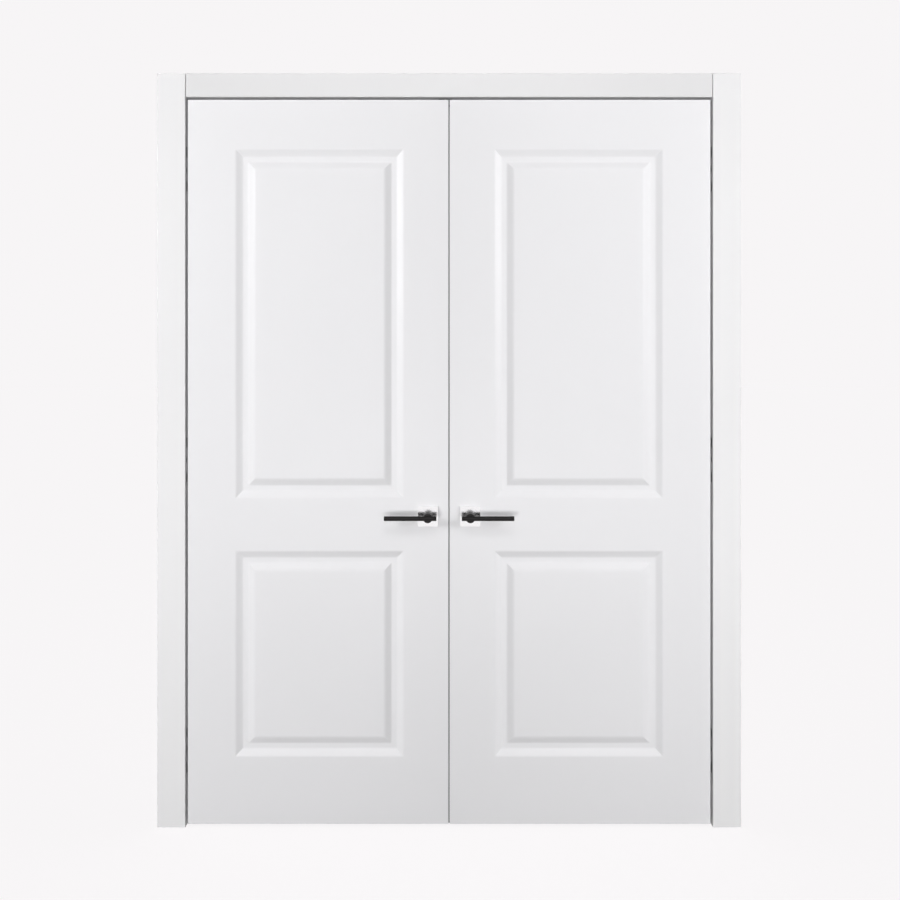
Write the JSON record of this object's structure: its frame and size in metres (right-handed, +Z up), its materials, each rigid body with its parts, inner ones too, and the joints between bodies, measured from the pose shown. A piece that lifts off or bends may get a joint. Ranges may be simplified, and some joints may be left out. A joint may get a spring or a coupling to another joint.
{
  "type": "prehung double door",
  "caption": "White double door in a rebated frame with flat casings: panelled leaves on concealed hinges, straight black levers on square chrome roses.",
  "frame": {"origin": "on the floor line, midway across the doorway and midway through the wall's thickness", "axes": "+X to the right as seen from the pull side, +Y through the wall from the pull side to the push side, +Z up"},
  "size_m": [1.7, 0.1838, 2.196],
  "materials": {
    "leaf_paint": "smooth satin white paint on routed board",
    "jamb_paint": "smooth satin white paint",
    "casing_paint": "smooth satin white paint",
    "seal_rubber": "matt dark grey soft seal",
    "fin_rubber": "matt dark grey soft seal",
    "satin_zinc": "satin plated zinc",
    "polished_chrome": "polished",
    "base_zinc": "as cast",
    "black_lever": "satin black",
    "case_steel": "satin",
    "bolt_black": "smooth",
    "magnet_nickel": "nickel plated",
    "satin_steel": "satin",
    "plain_steel": "plain",
    "screw_steel": "zinc plated"
  },
  "bodies": {
    "frame": {"back_casing_head": "casing_paint", "back_casing_left": "casing_paint", "back_casing_right": "casing_paint", "corner_screws": "screw_steel", "frame_screws": "screw_steel", "front_casing_head": "casing_paint", "front_casing_left": "casing_paint", "front_casing_right": "casing_paint", "head_jamb": "jamb_paint", "head_seal": "seal_rubber", "head_strike": "satin_steel", "hinge_box_jamb_left_bottom": "satin_zinc", "hinge_box_jamb_left_middle": "satin_zinc", "hinge_box_jamb_left_top": "satin_zinc", "hinge_box_jamb_right_bottom": "satin_zinc", "hinge_box_jamb_right_middle": "satin_zinc", "hinge_box_jamb_right_top": "satin_zinc", "jamb_left": "jamb_paint", "jamb_right": "jamb_paint", "jamb_seal_left": "seal_rubber", "jamb_seal_right": "seal_rubber"},
    "left_leaf": {"leaf_left": "leaf_paint", "leaf_screws_left": "screw_steel", "rosette_front_left": "polished_chrome", "rosette_back_left": "polished_chrome", "rosette_bases_left": "base_zinc", "rosette_bolts_left": "screw_steel", "hinge_box_leaf_left_bottom": "satin_zinc", "hinge_box_leaf_left_middle": "satin_zinc", "hinge_box_leaf_left_top": "satin_zinc", "meeting_seal": "fin_rubber", "latch_strike": "satin_steel", "strike_magnet": "magnet_nickel", "flush_bolt_case_top": "satin_steel", "flush_bolt_case_bottom": "satin_steel"},
    "right_leaf": {"leaf_right": "leaf_paint", "leaf_screws_right": "screw_steel", "rosette_front_right": "polished_chrome", "rosette_back_right": "polished_chrome", "rosette_bases_right": "base_zinc", "rosette_bolts_right": "screw_steel", "hinge_box_leaf_right_bottom": "satin_zinc", "hinge_box_leaf_right_middle": "satin_zinc", "hinge_box_leaf_right_top": "satin_zinc", "latch_case": "case_steel"},
    "left_hinge_arms": {"hinge_arms_left": "satin_zinc"},
    "right_hinge_arms": {"hinge_arms_right": "satin_zinc"},
    "left_lever": {"lever_front_left": "black_lever", "lever_back_left": "black_lever", "spindle_left": "plain_steel", "grub_screws_left": "screw_steel"},
    "right_lever": {"lever_front_right": "black_lever", "lever_back_right": "black_lever", "spindle_right": "plain_steel", "grub_screws_right": "screw_steel", "latch_follower": "plain_steel"},
    "latch_bolt": {"latch_bolt": "bolt_black"},
    "flush_bolt_top": {"flush_bolt_top": "satin_steel"},
    "flush_bolt_bottom": {"flush_bolt_bottom": "satin_steel"}
  },
  "joints": [
    {"name": "left_leaf_swing", "type": "hinge", "parent": "frame", "child": "left_leaf", "pos_m": [-0.766, -0.062, 1.068], "axis": [0, 0, -1], "range_deg": [0, 100]},
    {"name": "right_leaf_swing", "type": "hinge", "parent": "frame", "child": "right_leaf", "pos_m": [0.766, -0.062, 1.068], "axis": [0, 0, 1], "range_deg": [0, 100]},
    {"name": "left_hinge_arms_swing", "type": "hinge", "parent": "frame", "child": "left_hinge_arms", "pos_m": [-0.766, -0.062, 1.068], "axis": [0, 0, -1], "range_deg": [0, 50]},
    {"name": "right_hinge_arms_swing", "type": "hinge", "parent": "frame", "child": "right_hinge_arms", "pos_m": [0.766, -0.062, 1.068], "axis": [0, 0, 1], "range_deg": [0, 50]},
    {"name": "left_lever_turn", "type": "hinge", "parent": "left_leaf", "child": "left_lever", "pos_m": [-0.0615, -0.042, 0.905], "axis": [0, -1, 0], "range_deg": [0, 45], "stiffness_Nm_per_rad": 1.6, "springref_deg": -14.32},
    {"name": "right_lever_turn", "type": "hinge", "parent": "right_leaf", "child": "right_lever", "pos_m": [0.0615, -0.042, 0.905], "axis": [0, 1, 0], "range_deg": [0, 45], "stiffness_Nm_per_rad": 1.6, "springref_deg": -14.32},
    {"name": "latch_bolt_slide", "type": "slide", "parent": "right_leaf", "child": "latch_bolt", "axis": [-1, 0, 0], "range_m": [0, 0.01], "stiffness_N_per_m": 60, "springref_m": -0.004},
    {"name": "flush_bolt_top_slide", "type": "slide", "parent": "left_leaf", "child": "flush_bolt_top", "axis": [0, 0, 1], "range_m": [0, 0.016]},
    {"name": "flush_bolt_bottom_slide", "type": "slide", "parent": "left_leaf", "child": "flush_bolt_bottom", "axis": [0, 0, -1], "range_m": [0, 0.016]}
  ],
  "couplings": [
    {"joint": "left_hinge_arms_swing", "follows": "left_leaf_swing", "ratio": 0.5},
    {"joint": "right_hinge_arms_swing", "follows": "right_leaf_swing", "ratio": 0.5}
  ]
}
